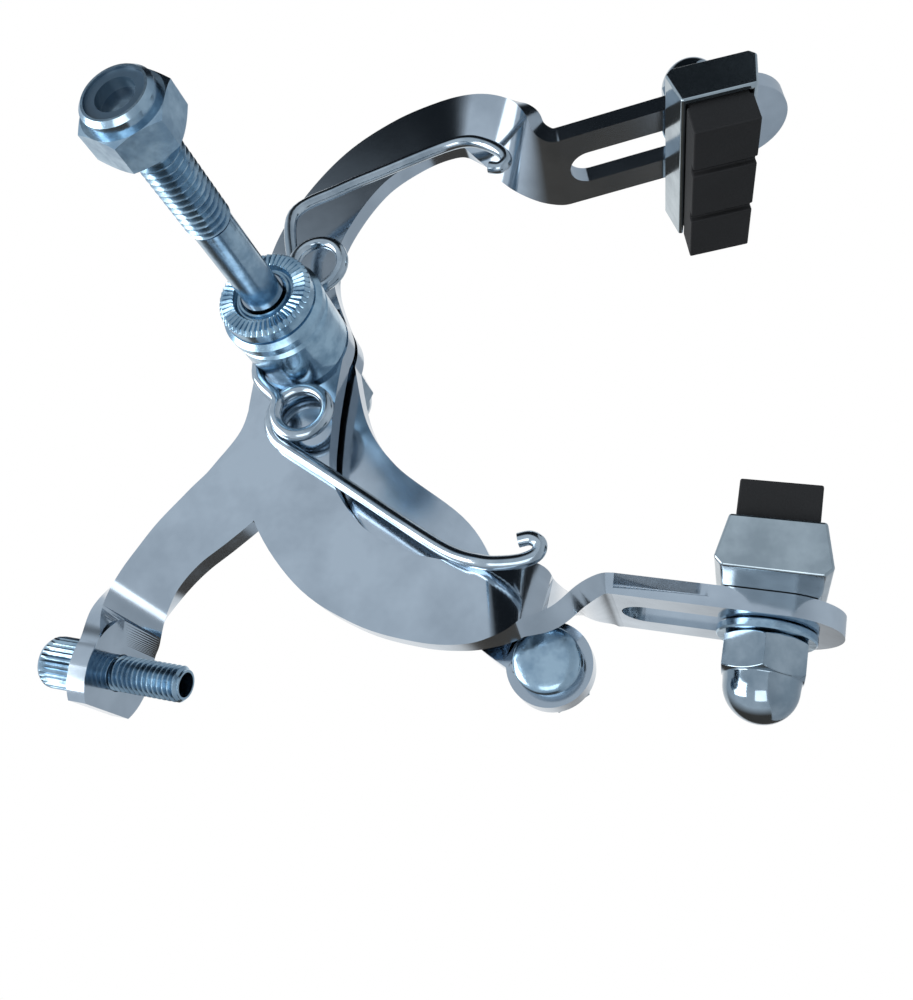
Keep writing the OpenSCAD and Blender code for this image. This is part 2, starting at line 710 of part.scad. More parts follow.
// Places a shoe on its slot plate: drawn with its base at 0, its braking face along +Z
// and its folded end along +Y
module at_shoe(side) {
    rotate([0, side == 1 ? -arm_open : arm_open, 0]) mirror([side == 1 ? 0 : 1, 0, 0])
        translate([plate_in - face_gap, plate_y, side == 1 ? -near_shoe_drop : -far_shoe_drop])
            rotate([0, -90, 0]) rotate([0, 0, side == 1 ? 0 : far_shoe_turn]) children();
}

// Extrudes a section that is drawn across the shoe (X) and up from the plate (Y)
module shoe_section(y, length) {
    translate([0, y + length, 0]) rotate([90, 0, 0]) linear_extrude(length) children();
}

// Pressed channel whose walls lean inwards, with a folded end towards the fork
module shoe_holder() {
    base = holder_w / 2;
    rim = rim_w / 2;
    bend = 1;
    difference() {
        union() {
            difference() {
                shoe_section(-holder_len / 2, holder_len) polygon([
                    [-base + bend, 0], [base - bend, 0], [base, bend], [rim, holder_h],
                    [-rim, holder_h], [-base, bend]
                ]);
                shoe_section(-holder_len / 2 - 1, holder_len + 2) polygon([
                    [-base + holder_t + bend / 2, holder_t], [base - holder_t - bend / 2, holder_t],
                    [base - holder_t, holder_t + bend / 2], [rim - holder_t, holder_h + eps],
                    [-rim + holder_t, holder_h + eps], [-base + holder_t, holder_t + bend / 2]
                ]);
            }
            shoe_section(holder_len / 2 - holder_t, holder_t) polygon([
                [-base + bend, 0], [base - bend, 0], [base - bend, holder_t],
                [end_w / 2, end_h], [-end_w / 2, end_h], [-base + bend, holder_t]
            ]);
        }
        translate([0, 0, -1]) cylinder(h = holder_t + 1 + eps, d = stud_d);
    }
}

// Block of rubber, held by its wide foot, with grooves across its braking face
module shoe_rubber() {
    foot = holder_w / 2 - holder_t - 2 * rubber_room;
    neck = rim_w / 2 - holder_t - rubber_room / 3;
    back = -holder_len / 2 + rubber_room;
    long = holder_len - holder_t - 2 * rubber_room;
    difference() {
        shoe_section(back, long) polygon([
            [-foot, holder_t], [foot, holder_t], [neck, holder_h], [rubber_w / 2, holder_h + 0.2],
            [rubber_w / 2, rubber_h], [-rubber_w / 2, rubber_h], [-rubber_w / 2, holder_h + 0.2],
            [-neck, holder_h]
        ]);
        for (y = [-groove_pitch, groove_pitch])
            translate([-rubber_w, y - groove_w / 2, rubber_h - groove_depth])
                cube([2 * rubber_w, groove_w, groove_depth + 1]);
        translate([0, 0, holder_t - 1]) cylinder(h = stud_head_t + 1, d = stud_head_d + 0.2);
    }
}

// Stud riveted into the holder's base, out through the slot plate
module shoe_stud() {
    reach = face_gap + arm_t + face_gap + shoe_washer_t + cap_h - cap_wall - 0.5;
    translate([0, 0, holder_t]) cylinder(h = stud_head_t, d = stud_head_d);
    translate([0, 0, -reach]) cylinder(h = reach + holder_t + eps, d = stud_d);
}

module shoe_washer() {
    translate([0, 0, -2 * face_gap - arm_t - shoe_washer_t])
        washer(shoe_washer_d, stud_d + 2 * washer_clear, shoe_washer_t);
}

module shoe_nut() {
    translate([0, 0, -2 * face_gap - arm_t - shoe_washer_t]) rotate([180, 0, 0]) cap_nut(stud_d);
}

module near_holder() { color("#8e9ba6") at_shoe(1) shoe_holder(); }
module near_rubber() { color("#1d1e20") at_shoe(1) shoe_rubber(); }
module near_stud() { color("#9fb0bd") at_shoe(1) shoe_stud(); }
module near_washer() { color("#a9b7c4") at_shoe(1) shoe_washer(); }
module near_nut() { color("#9aa4ad") at_shoe(1) shoe_nut(); }
module far_holder() { color("#8e9ba6") at_shoe(-1) shoe_holder(); }
module far_rubber() { color("#1d1e20") at_shoe(-1) shoe_rubber(); }
module far_stud() { color("#9fb0bd") at_shoe(-1) shoe_stud(); }
module far_washer() { color("#a9b7c4") at_shoe(-1) shoe_washer(); }
module far_nut() { color("#9aa4ad") at_shoe(-1) shoe_nut(); }

centre_bolt();
frame_nut();
frame_nut_insert();
toothed_washer();
spacer_washer();
spring_block();
return_spring();
cable_arm();
pivot_washer();
curved_arm();
front_washer();
adjusting_nut();
pivot_cap_nut();
barrel_adjuster();
adjuster_ring();
anchor_bolt();
anchor_washer();
anchor_nut();
near_holder();
near_rubber();
near_stud();
near_washer();
near_nut();
far_holder();
far_rubber();
far_stud();
far_washer();
far_nut();
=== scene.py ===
"""Dresses the side-pull caliper brake: plated steel, zinc fasteners, rubber shoes, threads."""

from math import atan2, cos, hypot, pi, radians, sin

import bmesh
import bpy
from bpy.props import FloatProperty, IntProperty, PointerProperty, StringProperty
from mathutils import Matrix, Vector


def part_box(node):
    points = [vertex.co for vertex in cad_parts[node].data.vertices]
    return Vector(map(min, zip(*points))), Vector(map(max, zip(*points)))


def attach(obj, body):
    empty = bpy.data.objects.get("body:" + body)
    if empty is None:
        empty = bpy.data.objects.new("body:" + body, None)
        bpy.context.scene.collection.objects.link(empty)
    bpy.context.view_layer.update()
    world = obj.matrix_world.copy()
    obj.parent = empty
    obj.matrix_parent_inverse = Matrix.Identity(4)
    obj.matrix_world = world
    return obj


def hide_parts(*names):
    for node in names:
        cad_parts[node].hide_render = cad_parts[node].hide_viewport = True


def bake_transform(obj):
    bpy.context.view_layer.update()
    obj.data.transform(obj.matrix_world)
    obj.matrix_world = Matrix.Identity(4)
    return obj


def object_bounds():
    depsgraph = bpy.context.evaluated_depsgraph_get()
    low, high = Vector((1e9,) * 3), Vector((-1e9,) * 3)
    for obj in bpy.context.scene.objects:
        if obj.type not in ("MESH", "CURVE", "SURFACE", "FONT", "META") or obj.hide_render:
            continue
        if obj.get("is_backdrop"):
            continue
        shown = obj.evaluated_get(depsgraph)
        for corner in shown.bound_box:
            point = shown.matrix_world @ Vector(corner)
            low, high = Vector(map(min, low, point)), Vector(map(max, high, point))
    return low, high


bl_info = {
    "name": "Side-pull caliper brake",
    "version": (1, 0, 0),
    "blender": (4, 5, 0),
    "location": "3D View > Sidebar > Brake",
    "description": "Builds the visible pieces of a side-pull caliper brake around its CAD solids",
    "category": "Object",
}

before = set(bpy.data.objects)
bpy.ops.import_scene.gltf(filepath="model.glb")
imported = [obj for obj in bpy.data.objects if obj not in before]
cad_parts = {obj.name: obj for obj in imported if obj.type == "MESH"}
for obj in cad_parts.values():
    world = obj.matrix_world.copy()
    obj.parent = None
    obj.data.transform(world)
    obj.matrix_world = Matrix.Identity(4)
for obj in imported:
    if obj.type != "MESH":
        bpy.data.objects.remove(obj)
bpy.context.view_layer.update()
MM = 0.001
ARM_OPEN = radians(10)

# The two arms, in millimetres, as the solids have them
ARM_T = 2.8
BOSS_D = 14.4
NEAR_Y = -14.2
FAR_Y = -18.2
PLATE_MID = 29.4
PLATE_Y = -25.5
PLATE_W = 15.0
PLATE_LOW = 71.15
# How far a plate runs up into its twisted limb, above the slot's top
PLATE_LAP = 0.9
SLOT_W = 6.5
# Half the depth of a cut across a plate
CUT = 9
TAB_X, TAB_Y, TAB_Z = 51.2, -17.6, 16.3
TAB_REACH = 5.4
ANCHOR_X, ANCHOR_Z = 53.4, -27.6
ANCHOR_PAD_R = 5.5

# Radii of the holes in the arms, and of the spot face under the adjuster's ring
PIVOT_HOLE_R = 3.05
STEM_HOLE_R = 2.6
ANCHOR_HOLE_R = 2.65
SPOT_R, SPOT_TOP = 4.0, 19

# Stations along each limb: x, z, width, offset along Y and twist in degrees
NEAR_LIMB = (
    (0, 0, 13.6, 0, 0), (12.89, -1.5, 13.4, 0, 0), (23.27, -4.8, 12.4, 0, 0),
    (31.15, -12.4, 11.8, 0, 0), (34.8, -20.6, 11.4, 0, 0), (35.8, -28, 11.2, 0, 0),
    (35.6, -33, 11, 0.3, 2), (34.8, -36.5, 11.4, 1.4, 11), (33.6, -40, 11.8, 0.6, 31),
    (33, -43.3, 13.2, -2.4, 55), (31.4, -46.5, 14.4, -6.34, 79), (29.7, -48.9, 15, -9.6, 89),
    (29.4, -50.5, 15, -9.9, 90),
)
FAR_LIMB = (
    (0, 0, 13.6, 0, 0), (11.97, 1.6, 12.4, 0, 0), (20.84, -0.2, 11.6, 0, 0),
    (28.18, -4.9, 11, 0, 0), (34.35, -11.6, 10.4, 0, 0), (37.6, -19, 10.2, 0, 0),
    (38.6, -25.5, 10.2, 0, 0), (38.2, -30, 10.2, -0.4, 8), (36.2, -34, 11.2, -1.8, 30),
    (33.7, -37.2, 13.2, -3.8, 58), (31, -39.8, 14.4, -5.3, 80), (29.6, -42, 15, -5.85, 89),
    (29.4, -43.6, 15, -5.9, 90),
)
CABLE_LIMB = (
    (1, 0, 12.8, 0, 0), (14.34, -1, 13.4, 0, 0), (23.04, 3.26, 11.8, 0, 0),
    (27.65, 6.52, 11.2, 0, 0), (32.26, 9.94, 10.2, 0, 0), (36.86, 12.4, 9, 0, 8),
    (40.45, 14, 8.6, -0.2, 28), (43.5, 15.3, 9.6, -0.8, 55), (46.1, 16.1, 12, -1.6, 80),
    (48.1, 16.3, 14, -2, 90), (51.2, 16.3, 15, -2, 90),
)
ANCHOR_LIMB = (
    (1, 0, 12.8, 0, 0), (14.42, -1.4, 12.4, 0, 0), (24.56, -6, 12.2, 0, 0),
    (34.71, -15, 11.4, 0, 0), (40.8, -18.8, 8.8, 0, 0), (46.8, -21.9, 7.8, 0, 0),
    (51.4, -26.4, 8, 0, 0),
)

# The spring's wire, as the solid has it
WIRE_R = 0.95
COIL_R, COIL_X, COIL_DROP = 3.7, 12.6, 2.3
LEG_Y = -12.95
FAR_LEG_Y = -16.95
CROSS_Y = -10.95
CROSS_Z = 4.8
WRAP_OUT = 1.52
HOOK_Y = LEG_Y + 1.1
NEAR_LEG = (
    (23.8, LEG_Y, -9.3), (29.7, LEG_Y, -17.5), (34.4, LEG_Y + 0.4, -24.4), (36.2, HOOK_Y, -28.8),
    (36.5, HOOK_Y, -31.6), (36.3, HOOK_Y, -34.2), (35.5, HOOK_Y, -36), (34.2, HOOK_Y, -36.3),
    (33.4, HOOK_Y, -35.2), (33.6, HOOK_Y, -33.6),
)
FAR_LEG = (
    (-23.7, LEG_Y, 3.5), (-28.6, LEG_Y - 1.4, -3.2), (-32.4, LEG_Y - 2.8, -10.2),
    (-36.4, FAR_LEG_Y, -18.9), (-36.9, FAR_LEG_Y, -23.2), (-35.6, FAR_LEG_Y, -26.4),
    (-33.6, FAR_LEG_Y, -28.8), (-31.8, FAR_LEG_Y, -29.6), (-30.6, FAR_LEG_Y, -28.6),
    (-31, FAR_LEG_Y, -27),
)

# The shoes: base plane, depth of each on its arm, the far one's turn, and the holder
SHOE_X = 27.9
SHOE_DROP = {1: 69.4, -1: 65.8}
SHOE_TURN = {1: 0.0, -1: radians(4)}
HOLDER_LEN = 30.0
HOLDER_T = 1.1
NUT_BACK = 4.2

# Sections across a shoe, as points across it and up from its plate
HOLDER_OUTSIDE = ((-5.7, 0), (5.7, 0), (6.7, 1), (5.5, 6.6), (-5.5, 6.6), (-6.7, 1))
HOLDER_INSIDE = ((-5.1, 1.1), (5.1, 1.1), (5.6, 1.6), (4.4, 8), (-4.4, 8), (-5.6, 1.6))
RUBBER_SECTION = ((-5, 1.1), (5, 1.1), (4.3, 6.6), (4.8, 6.8), (4.8, 11.8), (-4.8, 11.8),
                  (-4.8, 6.8), (-4.3, 6.6))
END_ROOM = 0.3
GROOVE_AT = 5.2
GROOVE_HALF = 0.7
GROOVE_FLOOR = 10.8

# Nuts: across the flats, height of the hexagon and of the dome on it
NUT_AF = 10.0
HEX_H = 5.0
DOME_R = 4.7
NUT_H = 10.6
CAP_NUT_Y = -25.3

# The anchor bolt, as radius and height above its front end, and its cable hole
ANCHOR_BOLT_Y = -27
ANCHOR_PROFILE = ((0, 0), (2.1, 0), (2.5, 0.4), (2.5, 8.8), (4.3, 8.8), (4.3, 10.95),
                  (4.1, 11.3), (3.5, 11.6), (2.4, 11.8), (1.2, 11.9), (0, 11.9))
CABLE_HOLE_R, CABLE_HOLE_UP = 0.85, 10.1

# The centre bolt's shank and thread along Y
BOLT_R, SHANK_R = 3, 2.75
JOURNAL_END, SHANK_START, THREAD_START = -5.4, -5.2, 15

# The toothed washer, as radius and height above its front face
SEAT_Y = -2.8
SEAT_PROFILE = ((3.4, 0), (6.2, 0), (6.7, 0.5), (6.7, 2.0), (6.5, 2.4), (6.15, 2.8), (4.6, 2.8),
                (4.45, 2.62), (4.1, 1.95), (3.9, 1.95), (3.7, 2.35), (3.4, 2.35))
TOOTH_DEPTH = 0.42

# The adjuster's head, as radius and height above its lower face at HEAD_Z
HEAD_Z = 19.7
HEAD_PROFILE = ((2.1, 0), (3.1, 0), (3.3, 0.3), (3.3, 0.8), (3.7, 1.0), (3.7, 1.3), (3.7, 4.9),
                (3.7, 5.3), (3.6, 5.9), (3.3, 6.4), (2.9, 6.6), (2.6, 6.6), (2.6, 2.6),
                (1.2, 2.6), (1.2, 0))
STEM_R, STEM_BORE_R, CABLE_BORE_R, STEM_Z = 2.5, 1.7, 1.2, 4.3
FLUTE_DEPTH = 0.26

# The camera: its place in metres and the directions to the image's right and into it
CAMERA_AT = (0.07822, 0.10328, -0.05767)
CAMERA_RIGHT = (-0.0394, -0.2538, -0.9665)
CAMERA_AHEAD = (-0.3901, -0.8865, 0.2487)

FINISHES = {}


# Helpers


def linear(code):
    """The linear RGBA of an sRGB hex colour."""
    parts = [int(code.lstrip("#")[i : i + 2], 16) / 255 for i in (0, 2, 4)]
    return [c / 12.92 if c <= 0.04045 else ((c + 0.055) / 1.055) ** 2.4 for c in parts] + [1.0]


def add(tree, kind, links=(), **settings):
    """Adds a node, sets its fields and inputs, and links (its input, node, output) threes."""
    node = tree.nodes.new(kind)
    for name, value in settings.items():
        if name in node.bl_rna.properties:
            setattr(node, name, value)
        else:
            node.inputs[name.replace("_", " ")].default_value = value
    for socket, other, output in links:
        tree.links.new(other.outputs[output], node.inputs[socket])
    return node


def new_material(name):
    """An empty node material with its output node."""
    material = bpy.data.materials.new(name)
    material.use_nodes = True
    tree = material.node_tree
    tree.nodes.clear()
    return material, tree, tree.nodes.new("ShaderNodeOutputMaterial")


def plating(name, colour, stain, roughness, ripple, ripple_mm, stain_mm=6.0, haze=0.1):
    """A plated metal: base colour with faint stains, hazy patches and a shallow ripple."""
    material, tree, output = new_material(name)
    place = add(tree, "ShaderNodeTexCoord")
    patches = add(tree, "ShaderNodeTexNoise", [("Vector", place, "Object")],
                  Scale=1000 / stain_mm, Detail=4.0, Roughness=0.6)
    waves = add(tree, "ShaderNodeTexNoise", [("Vector", place, "Object")],
                Scale=1000 / ripple_mm, Detail=3.0, Roughness=0.5)
    tint = add(tree, "ShaderNodeValToRGB", [("Fac", patches, "Fac")])
    tint.color_ramp.elements[0].position = 0.38
    tint.color_ramp.elements[0].color = linear(stain)
    tint.color_ramp.elements[1].position = 0.62
    tint.color_ramp.elements[1].color = linear(colour)
    rough = add(tree, "ShaderNodeMapRange", [("Value", patches, "Fac")],
                From_Min=0.35, From_Max=0.7, To_Min=roughness + haze, To_Max=roughness)
    bump = add(tree, "ShaderNodeBump", [("Height", waves, "Fac")], Strength=ripple, Distance=0.0002)
    shader = add(tree, "ShaderNodeBsdfPrincipled",
                 [("Base Color", tint, "Color"), ("Roughness", rough, "Result"),
                  ("Normal", bump, "Normal")], Metallic=1.0)
    tree.links.new(shader.outputs["BSDF"], output.inputs["Surface"])
    return material


def moulded(name, colour, light, roughness, grain_mm, bump_strength):
    """A moulded rubber or nylon: matt, with a fine grain and paler worn patches."""
    material, tree, output = new_material(name)
    place = add(tree, "ShaderNodeTexCoord")
    grain = add(tree, "ShaderNodeTexNoise", [("Vector", place, "Object")],
                Scale=1000 / grain_mm, Detail=5.0, Roughness=0.65)
    broad = add(tree, "ShaderNodeTexNoise", [("Vector", place, "Object")],
                Scale=1000 / 9.0, Detail=3.0)
    tint = add(tree, "ShaderNodeValToRGB", [("Fac", broad, "Fac")])
    tint.color_ramp.elements[0].position = 0.4
    tint.color_ramp.elements[0].color = linear(colour)
    tint.color_ramp.elements[1].position = 0.75
    tint.color_ramp.elements[1].color = linear(light)
    bump = add(tree, "ShaderNodeBump", [("Height", grain, "Fac")],
               Strength=bump_strength, Distance=0.0002)
    shader = add(tree, "ShaderNodeBsdfPrincipled",
                 [("Base Color", tint, "Color"), ("Normal", bump, "Normal")],
                 Roughness=roughness)
    tree.links.new(shader.outputs["BSDF"], output.inputs["Surface"])
    return material


def curve(points, parts):
    """Points of a smooth curve through the given ones, with parts steps between each two."""
    found = []
    last = len(points) - 1
    for i in range(last):
        a, b, c, d = (Vector(points[min(max(i + k, 0), last)]) for k in (-1, 0, 1, 2))
        for k in range(parts + (i == last - 1)):
            t = k / parts
            found.append(0.5 * (2 * b + (c - a) * t + (2 * a - 5 * b + 4 * c - d) * t * t
                                + (3 * b - 3 * c + d - a) * t ** 3))
    return found


def heading(path, i, size):
    """The direction of a curve at point i, over its first size coordinates."""
    way = path[min(i + 1, len(path) - 1)] - path[max(i - 1, 0)]
    return Vector(way[:size]).normalized()


def sweep(rings):
    """A closed tube through rings of corners: one face extruded from ring to ring."""
    bm = bmesh.new()
    bmesh.ops.create_circle(bm, segments=len(rings[0]), radius=1, cap_ends=True)
    face = bm.faces[:][0]
    for number, ring in enumerate(rings):
        if number:
            face = bmesh.ops.extrude_discrete_faces(bm, faces=[face])["faces"][0]
        for vert, corner in zip(face.verts, ring):
            vert.co = corner
    bm.edges.ensure_lookup_table()
    bmesh.ops.holes_fill(bm, edges=[e for e in bm.edges if e.is_boundary], sides=0)
    bmesh.ops.recalc_face_normals(bm, faces=bm.faces)
    return bm


def limb(stations, mid_y, first, final, parts=8):
    """A swept strip of the arm's sheet through its stations, in metres."""
    path = curve(stations, parts)
    rings = []
    for i, (x, z, width, shift, twist) in enumerate(path):
        along = first if i == 0 else final if i == len(path) - 1 else heading(path, i, 2)
        out = Vector((-along[1], 0, along[0]))
        angle = radians(twist)
        across = out * cos(angle) + Vector((0, sin(angle), 0))
        through = Vector((0, cos(angle), 0)) - out * sin(angle)
        centre = Vector((x, mid_y + shift, z))
        rings.append([MM * (centre + across * width / 2 * a + through * ARM_T / 2 * b)
                      for a, b in ((1, 1), (-1, 1), (-1, -1), (1, -1))])
    return sweep(rings)


def rod(radius, start, end, way, centre, segments=64):
    """A cylinder along an axis, with start, end and centre in millimetres."""
    bm = bmesh.new()
    bmesh.ops.create_cone(bm, cap_ends=True, segments=segments, radius1=radius * MM,
                          radius2=radius * MM, depth=(end - start) * MM)
    bmesh.ops.translate(bm, verts=bm.verts, vec=(0, 0, (start + end) / 2 * MM))
    turn = Vector((0, 0, 1)).rotation_difference(Vector(way)).to_matrix().to_4x4()
    bmesh.ops.transform(bm, verts=bm.verts, matrix=Matrix.Translation(Vector(centre) * MM) @ turn)
    return bm


def block(low, high):
    """A box between two corners in millimetres."""
    bm = bmesh.new()
    bmesh.ops.create_cube(bm, size=1)
    low, high = Vector(low), Vector(high)
    size = high - low
    bmesh.ops.scale(bm, verts=bm.verts, vec=size * MM)
    bmesh.ops.translate(bm, verts=bm.verts, vec=(low + high) / 2 * MM)
    return bm


def lathe(profile, steps=72):
    """A profile of (radius, height) pairs in millimetres, spun about Z."""
    bm = bmesh.new()
    verts = [bm.verts.new((r * MM, 0, z * MM)) for r, z in profile]
    edges = [bm.edges.new(pair) for pair in zip(verts, verts[1:])]
    bmesh.ops.spin(bm, geom=verts + edges, cent=(0, 0, 0), axis=(0, 0, 1), dvec=(0, 0, 0),
                   angle=2 * pi, steps=steps, use_duplicate=False)
    bmesh.ops.remove_doubles(bm, verts=bm.verts, dist=1e-6)
    bmesh.ops.recalc_face_normals(bm, faces=bm.faces)
    return bm


def ring(profile, steps=72):
    """A closed profile of (radius, height) pairs in millimetres, spun about Z."""
    return lathe(list(profile) + [profile[0]], steps)


def thread(radius, pitch, start, end, steps=40):
    """A threaded rod's skin along Z with closed, chamfered ends, in millimetres."""
    depth = 0.6 * pitch
    low = start - pitch
    shape = ((radius - depth, 0), (radius - depth, 0.12), (radius, 0.44), (radius, 0.56),
             (radius - depth, 0.88), (radius - depth, 1))
    bm = bmesh.new()
    verts = [bm.verts.new((r * MM, 0, (low + t * pitch) * MM)) for r, t in shape]
    edges = [bm.edges.new(pair) for pair in zip(verts, verts[1:])]
    turns = int((end - start) / pitch) + 3
    bmesh.ops.spin(bm, geom=verts + edges, cent=(0, 0, 0), axis=(0, 0, 1),
                   dvec=(0, 0, pitch / steps * MM), angle=2 * pi * turns, steps=steps * turns,
                   use_duplicate=False)
    bmesh.ops.remove_doubles(bm, verts=bm.verts, dist=2e-6)
    for height, side in ((start, -1), (end, 1)):
        bmesh.ops.bisect_plane(bm, geom=bm.verts[:] + bm.edges[:] + bm.faces[:],
                               plane_co=(0, 0, height * MM), plane_no=(0, 0, side),
                               clear_outer=True)
    bmesh.ops.holes_fill(bm, edges=[e for e in bm.edges if e.is_boundary], sides=0)
    for vert in bm.verts:
        flat = hypot(vert.co.x, vert.co.y)
        room = min(vert.co.z - start * MM, end * MM - vert.co.z) + (radius - depth) * MM
        if flat > room:
            vert.co.x *= room / flat
            vert.co.y *= room / flat
    bmesh.ops.recalc_face_normals(bm, faces=bm.faces)
    return bm


def prism(section, start, end):
    """A section of (x, z) points in millimetres, extruded along Y."""
    bm = bmesh.new()
    verts = [bm.verts.new((x * MM, start * MM, z * MM)) for x, z in section]
    face = bm.faces.new(verts)
    moved = bmesh.ops.extrude_face_region(bm, geom=[face])["geom"]
    bmesh.ops.translate(bm, verts=[v for v in moved if isinstance(v, bmesh.types.BMVert)],
                        vec=(0, (end - start) * MM, 0))
    bmesh.ops.recalc_face_normals(bm, faces=bm.faces)
    return bm


def hexagonal(profile, height):
    """A lathed profile cut to the nuts' hexagon, standing on Z = 0."""
    bm = bmesh.new()
    bmesh.ops.create_cone(bm, cap_ends=True, segments=6, radius1=NUT_AF / 3 ** 0.5 * MM,
                          radius2=NUT_AF / 3 ** 0.5 * MM, depth=(height + 2) * MM)
    bmesh.ops.translate(bm, verts=bm.verts, vec=(0, 0, height / 2 * MM))
    return combined(bm, [lathe(profile)], "INTERSECT")


def domed_nut():
    """A domed nut, standing on Z = 0."""
    corner = NUT_AF / 3 ** 0.5
    slope = (corner - NUT_AF / 2) / 2
    middle = NUT_H - DOME_R
    dome = [(DOME_R * cos(a), middle + DOME_R * sin(a)) for a in (k * pi / 24 for k in range(12))]
    return hexagonal([(0, 0), (4.8, 0), (corner, slope * 1.4), (corner, HEX_H - slope * 1.4),
                      (4.8, HEX_H)] + dome + [(0, NUT_H)], NUT_H)


def on_shoe(side):
    """From a shoe's own frame, with its base at 0 and its braking face up, to its place."""
    mirror = Matrix.Diagonal((side, 1, 1, 1))
    place = Matrix.Translation((SHOE_X * MM, PLATE_Y * MM, -SHOE_DROP[side] * MM))
    turn = Matrix.Rotation(-pi / 2, 4, "Y") @ Matrix.Rotation(SHOE_TURN[side], 4, "Z")
    return upright(side) @ mirror @ place @ turn


def merged(*parts):
    """Several closed meshes in one, the first of which is kept."""
    for other in parts[1:]:
        spare = bpy.data.meshes.new("spare")
        other.to_mesh(spare)
        other.free()
        parts[0].from_mesh(spare)
        bpy.data.meshes.remove(spare)
    return parts[0]


def combined(base, tools, mode):
    """The base mesh with each tool joined to it or taken from it by an exact Boolean."""
    spare = []
    for number, bm in enumerate([base] + list(tools)):
        mesh = bpy.data.meshes.new("spare")
        bm.to_mesh(mesh)
        bm.free()
        spare.append(bpy.data.objects.new("spare", mesh))
        bpy.context.scene.collection.objects.link(spare[-1])
        if number:
            modifier = spare[0].modifiers.new("tool", "BOOLEAN")
            modifier.operation = mode
            modifier.solver = "EXACT"
            modifier.object = spare[-1]
    depsgraph = bpy.context.evaluated_depsgraph_get()
    result = bmesh.new()
    result.from_mesh(spare[0].evaluated_get(depsgraph).to_mesh())
    for piece in spare:
        mesh = piece.data
        bpy.data.objects.remove(piece)
        bpy.data.meshes.remove(mesh)
    if not result.faces:
        raise RuntimeError("a Boolean left nothing")
    return result


def show(name, bm, finish, body, nodes=(), bevel=0.0, angle=35.0, segments=3, turn=None):
    """Makes a mesh an object that rides on a CAD body and stands for CAD nodes."""
    if turn is not None:
        bmesh.ops.transform(bm, verts=bm.verts, matrix=turn)
        if turn.determinant() < 0:
            bmesh.ops.reverse_faces(bm, faces=bm.faces)
    for face in bm.faces:
        face.smooth = True
    mesh = bpy.data.meshes.new(name)
    bm.to_mesh(mesh)
    bm.free()
    mesh.materials.append(FINISHES[finish])
    piece = bpy.data.objects.new(name, mesh)
    bpy.context.scene.collection.objects.link(piece)
    if bevel:
        modifier = piece.modifiers.new("edges", "BEVEL")
        modifier.width = bevel * MM
        modifier.segments = segments
        modifier.limit_method = "ANGLE"
        modifier.angle_limit = radians(angle)
        modifier.harden_normals = True
        modifier.use_clamp_overlap = True
    else:
        mesh.set_sharp_from_angle(angle=radians(angle))
    if body:
        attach(piece, body)
    if nodes:
        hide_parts(*nodes)
    return piece


def upright(side):
    """From an arm's upright frame to its place, +1 for the cable arm and -1 for the other."""
    return Matrix.Rotation(-ARM_OPEN * side, 4, "Y")


# Settings


class BrakeFinishes(bpy.types.PropertyGroup):
    """Colours of the brake's finishes, as sRGB hex."""

    chrome: StringProperty(name="Arm plating", description="Bright plating on the pressed arms",
                           default="#bcc8d3")
    zinc: StringProperty(name="Zinc", description="Bright zinc on bolt, nuts and washers",
                         default="#a9c2d3")
    rubber: StringProperty(name="Rubber", description="Moulded rubber of the shoes",
                           default="#0e0f11")


class BrakeArms(bpy.types.PropertyGroup):
    """The pressed arms."""

    edge: FloatProperty(name="Edge", description="Width of the arms' rounded edges in millimetres",
                        default=0.35, min=0.1, max=0.6)
    near_slot: FloatProperty(name="Near slot", description="Depth of the near slot's top in mm",
                             default=51.0)
    far_slot: FloatProperty(name="Far slot", description="Depth of the far slot's top in mm",
                            default=44.0)


class BrakeThreads(bpy.types.PropertyGroup):
    """Threads, flutes and teeth."""

    bolt_pitch: FloatProperty(name="Bolt pitch", description="Thread pitch of the bolts in mm",
                              default=1.0, min=0.5, max=1.5)
    stem_pitch: FloatProperty(name="Stem pitch", description="Thread pitch of the adjuster in mm",
                              default=0.8, min=0.4, max=1.2)
    flutes: IntProperty(name="Flutes", description="Flutes round the adjuster's head",
                        default=32, min=16, max=60)
    teeth: IntProperty(name="Teeth", description="Teeth round the seat washer",
                       default=48, min=24, max=72)


class BrakeStage(bpy.types.PropertyGroup):
    """Camera and stage."""

    focal: FloatProperty(name="Focal length", description="Camera's focal length on a 36 mm sensor",
                         default=36.14, unit="CAMERA")
    floor_drop: FloatProperty(name="Floor drop", description="Depth of the floor below the brake",
                              default=0.9, unit="LENGTH")


# Operators


